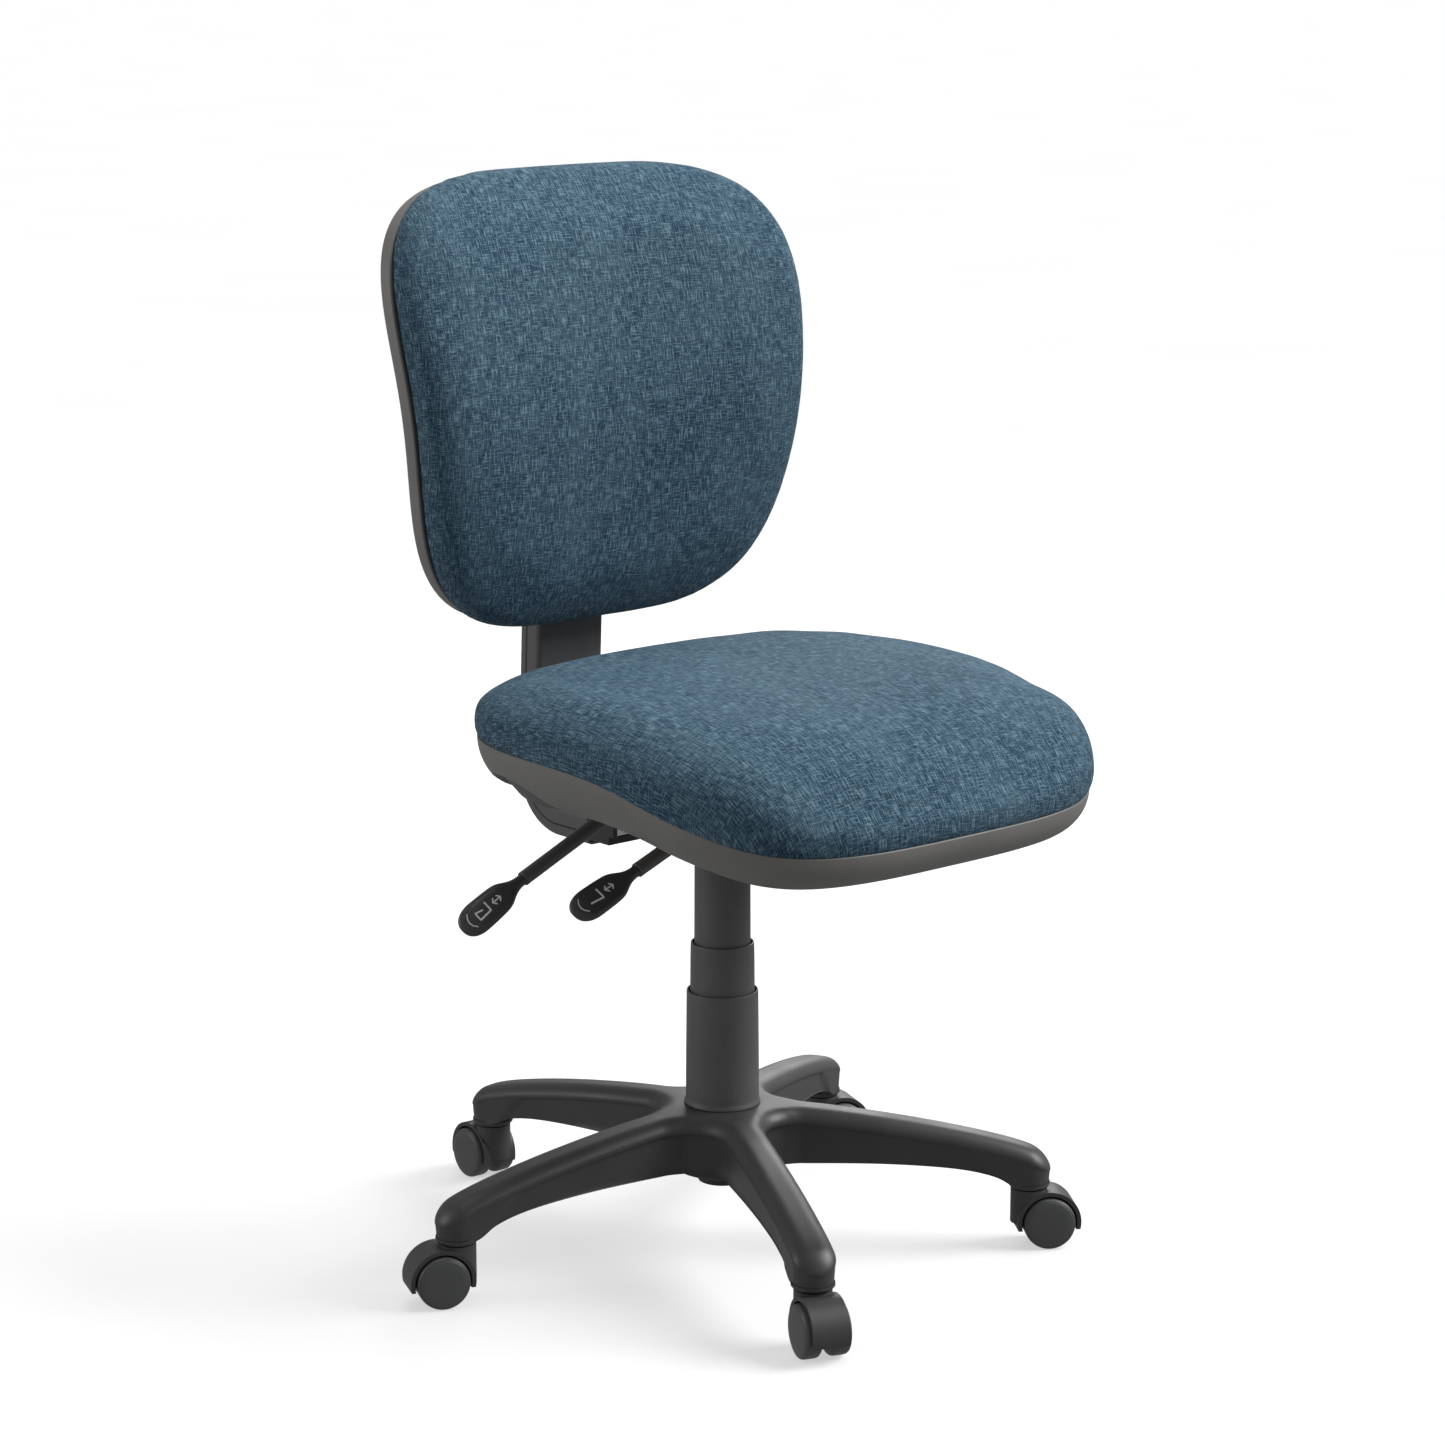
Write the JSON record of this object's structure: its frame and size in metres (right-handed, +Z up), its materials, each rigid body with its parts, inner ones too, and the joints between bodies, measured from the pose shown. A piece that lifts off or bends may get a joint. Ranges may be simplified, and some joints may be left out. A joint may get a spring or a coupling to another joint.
{
  "type": "swivel office chair",
  "caption": "Armless swivel office chair: castored star base, gas lift, two levers, tilting height-adjustable padded back and waterfall padded seat.",
  "frame": {"origin": "on the floor under the axis of the gas lift", "axes": "+Z up; the sitter faces -Y, so the sitter's left is +X and the sitter's right is -X"},
  "size_m": [0.6544, 0.6743, 1.024],
  "materials": {
    "nylon_black": "fine textured moulded nylon",
    "cover_plastic": "satin moulded",
    "tube_steel": "black enamel",
    "bush_plastic": "natural acetal",
    "bearing_steel": "zinc plated",
    "cylinder_steel": "hard chrome",
    "pressed_steel": "black powder coat",
    "spring_steel": "oiled",
    "lever_steel": "black, sleeved",
    "grip_plastic": "satin moulded",
    "upright_plastic": "leather-grain moulded",
    "shell_plastic": "fine textured moulded",
    "plywood": "plain",
    "upholstery": "blue melange weave",
    "castor_nylon": "fine textured moulded nylon",
    "wheel_nylon": "smooth moulded nylon"
  },
  "bodies": {
    "base": {"star_base": "nylon_black", "gas_lift_outer_tube": "tube_steel", "guide_bush": "bush_plastic", "thrust_bearing": "bearing_steel", "column_cover_lower": "cover_plastic"},
    "lift_rod": {"piston_rod": "bearing_steel", "rod_clip": "bearing_steel"},
    "seat": {"gas_cylinder": "cylinder_steel", "column_cover_upper": "cover_plastic", "mechanism_housing": "pressed_steel", "taper_socket": "pressed_steel", "tilt_pivot_pin": "bearing_steel", "return_springs": "spring_steel", "lever_pins": "bearing_steel", "seat_cushion": "upholstery", "seat_board": "plywood", "seat_shell": "shell_plastic", "seat_bolts": "bearing_steel"},
    "cover_middle": {"column_cover_middle": "cover_plastic"},
    "valve_pin": {"release_pin": "bearing_steel"},
    "height_lever": {"height_lever_rod": "lever_steel", "height_lever_paddle": "grip_plastic"},
    "back_lever": {"back_lever_rod": "lever_steel", "back_lever_paddle": "grip_plastic"},
    "back_arm": {"j_bar": "pressed_steel", "upright_cover_front": "upright_plastic", "upright_cover_rear": "upright_plastic"},
    "backrest": {"back_carriage": "upright_plastic", "back_shell": "shell_plastic", "back_board": "plywood", "back_cushion": "upholstery", "back_screws": "bearing_steel"},
    "castor_1": {"castor_1_hood": "castor_nylon", "castor_1_stem": "bearing_steel", "castor_1_axle": "bearing_steel"},
    "castor_1_wheel_left": {"castor_1_wheel_left": "wheel_nylon"},
    "castor_1_wheel_right": {"castor_1_wheel_right": "wheel_nylon"},
    "castor_2": {"castor_2_hood": "castor_nylon", "castor_2_stem": "bearing_steel", "castor_2_axle": "bearing_steel"},
    "castor_2_wheel_left": {"castor_2_wheel_left": "wheel_nylon"},
    "castor_2_wheel_right": {"castor_2_wheel_right": "wheel_nylon"},
    "castor_3": {"castor_3_hood": "castor_nylon", "castor_3_stem": "bearing_steel", "castor_3_axle": "bearing_steel"},
    "castor_3_wheel_left": {"castor_3_wheel_left": "wheel_nylon"},
    "castor_3_wheel_right": {"castor_3_wheel_right": "wheel_nylon"},
    "castor_4": {"castor_4_hood": "castor_nylon", "castor_4_stem": "bearing_steel", "castor_4_axle": "bearing_steel"},
    "castor_4_wheel_left": {"castor_4_wheel_left": "wheel_nylon"},
    "castor_4_wheel_right": {"castor_4_wheel_right": "wheel_nylon"},
    "castor_5": {"castor_5_hood": "castor_nylon", "castor_5_stem": "bearing_steel", "castor_5_axle": "bearing_steel"},
    "castor_5_wheel_left": {"castor_5_wheel_left": "wheel_nylon"},
    "castor_5_wheel_right": {"castor_5_wheel_right": "wheel_nylon"}
  },
  "joints": [
    {"name": "seat_swivel", "type": "hinge", "parent": "base", "child": "lift_rod", "pos_m": [0, 0, 0.07], "axis": [0, 0, 1], "continuous": true},
    {"name": "seat_lift", "type": "slide", "parent": "lift_rod", "child": "seat", "axis": [0, 0, 1], "range_m": [-0.09, 0.025]},
    {"name": "cover_slide", "type": "slide", "parent": "base", "child": "cover_middle", "axis": [0, 0, 1], "range_m": [-0.045, 0.0125]},
    {"name": "height_lever_lift", "type": "hinge", "parent": "seat", "child": "height_lever", "pos_m": [-0.044, -0.06, 0.45], "axis": [0, 1, 0], "range_deg": [0, 4], "stiffness_Nm_per_rad": 1},
    {"name": "valve_press", "type": "slide", "parent": "seat", "child": "valve_pin", "axis": [0, 0, -1], "range_m": [0, 0.0032]},
    {"name": "back_lever_lift", "type": "hinge", "parent": "seat", "child": "back_lever", "pos_m": [-0.044, 0.048, 0.454], "axis": [0, 1, 0], "range_deg": [0, 6], "stiffness_Nm_per_rad": 1},
    {"name": "back_tilt", "type": "hinge", "parent": "seat", "child": "back_arm", "pos_m": [0, 0.095, 0.432], "axis": [-1, 0, 0], "range_deg": [-5, 20]},
    {"name": "back_height", "type": "slide", "parent": "back_arm", "child": "backrest", "axis": [0, -0.0454, 0.999], "range_m": [0, 0.06]},
    {"name": "castor_1_swivel", "type": "hinge", "parent": "base", "child": "castor_1", "pos_m": [-0.29274, 0.03646, 0.06], "axis": [0, 0, 1], "continuous": true},
    {"name": "castor_1_left_roll", "type": "hinge", "parent": "castor_1", "child": "castor_1_wheel_left", "pos_m": [-0.30885, 0.0433, 0.025], "axis": [-0.3907, -0.9205, 0], "continuous": true},
    {"name": "castor_1_right_roll", "type": "hinge", "parent": "castor_1", "child": "castor_1_wheel_right", "pos_m": [-0.30885, 0.0433, 0.025], "axis": [-0.3907, -0.9205, 0], "continuous": true},
    {"name": "castor_2_swivel", "type": "hinge", "parent": "base", "child": "castor_2", "pos_m": [-0.12514, -0.26714, 0.06], "axis": [0, 0, 1], "continuous": true},
    {"name": "castor_2_left_roll", "type": "hinge", "parent": "castor_2", "child": "castor_2_wheel_left", "pos_m": [-0.13141, -0.28348, 0.025], "axis": [0.9336, -0.3584, 0], "continuous": true},
    {"name": "castor_2_right_roll", "type": "hinge", "parent": "castor_2", "child": "castor_2_wheel_right", "pos_m": [-0.13141, -0.28348, 0.025], "axis": [0.9336, -0.3584, 0], "continuous": true},
    {"name": "castor_3_swivel", "type": "hinge", "parent": "base", "child": "castor_3", "pos_m": [0.2154, -0.20157, 0.06], "axis": [0, 0, 1], "continuous": true},
    {"name": "castor_3_left_roll", "type": "hinge", "parent": "castor_3", "child": "castor_3_wheel_left", "pos_m": [0.22991, -0.21135, 0.025], "axis": [0.5592, 0.829, 0], "continuous": true},
    {"name": "castor_3_right_roll", "type": "hinge", "parent": "castor_3", "child": "castor_3_wheel_right", "pos_m": [0.22991, -0.21135, 0.025], "axis": [0.5592, 0.829, 0], "continuous": true},
    {"name": "castor_4_swivel", "type": "hinge", "parent": "base", "child": "castor_4", "pos_m": [0.25826, 0.14257, 0.06], "axis": [0, 0, 1], "continuous": true},
    {"name": "castor_4_left_roll", "type": "hinge", "parent": "castor_4", "child": "castor_4_wheel_left", "pos_m": [0.27471, 0.13658, 0.025], "axis": [0.342, 0.9397, 0], "continuous": true},
    {"name": "castor_4_right_roll", "type": "hinge", "parent": "castor_4", "child": "castor_4_wheel_right", "pos_m": [0.27471, 0.13658, 0.025], "axis": [0.342, 0.9397, 0], "continuous": true},
    {"name": "castor_5_swivel", "type": "hinge", "parent": "base", "child": "castor_5", "pos_m": [-0.05578, 0.28968, 0.06], "axis": [0, 0, 1], "continuous": true},
    {"name": "castor_5_left_roll", "type": "hinge", "parent": "castor_5", "child": "castor_5_wheel_left", "pos_m": [-0.05456, 0.30713, 0.025], "axis": [-0.9976, 0.0698, 0], "continuous": true},
    {"name": "castor_5_right_roll", "type": "hinge", "parent": "castor_5", "child": "castor_5_wheel_right", "pos_m": [-0.05456, 0.30713, 0.025], "axis": [-0.9976, 0.0698, 0], "continuous": true}
  ],
  "couplings": [
    {"joint": "cover_slide", "follows": "seat_lift", "ratio": 0.5},
    {"joint": "valve_press", "follows": "height_lever_lift", "m_per_rad": 0.044}
  ]
}
